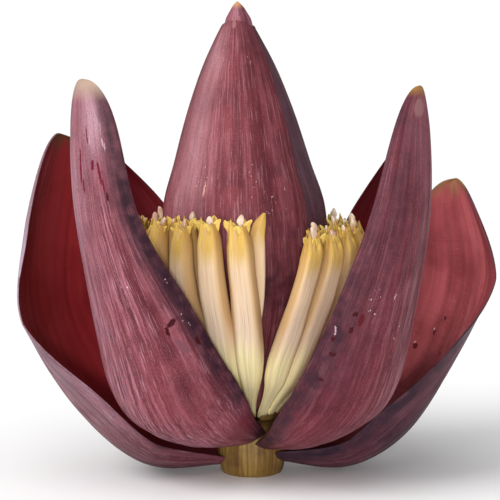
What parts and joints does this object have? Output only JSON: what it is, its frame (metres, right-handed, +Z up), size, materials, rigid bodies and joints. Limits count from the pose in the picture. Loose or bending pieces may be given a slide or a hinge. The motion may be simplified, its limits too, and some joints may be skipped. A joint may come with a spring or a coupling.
{
  "type": "banana blossom",
  "caption": "Banana blossom standing on its cut stem: a pointed heart of tight bracts ringed by flowers, with opened bracts cupped round it.",
  "frame": {"origin": "middle of the blossom's width and depth, level with the stem's flat cut, on which it stands; the stem's own axis is 2.5 mm left and 1.6 mm behind", "axes": "+Z up the heart, -Y towards the open front between the two tall bracts, +X to the right of it"},
  "size_m": [0.2358, 0.1717, 0.2366],
  "materials": {
    "stem": "damp cut stalk, faintly streaked",
    "bract": "waxy skin, purple outside and deep red inside",
    "heart": "waxy ribbed skin with a pale bloom",
    "flower": "soft matt petal"
  },
  "bodies": {
    "root": {"stem": "stem", "bract_front_left": "bract", "bract_front_right": "bract", "bract_left": "bract", "bract_right": "bract", "bract_back_left": "bract", "bract_back_right": "bract", "heart_bud": "heart", "heart_bract_front": "heart", "heart_bract_right": "heart", "heart_bract_back": "heart", "hand_front_left": "flower", "hand_front_right": "flower", "hand_back_right": "flower", "hand_back_left": "flower"}
  },
  "joints": []
}
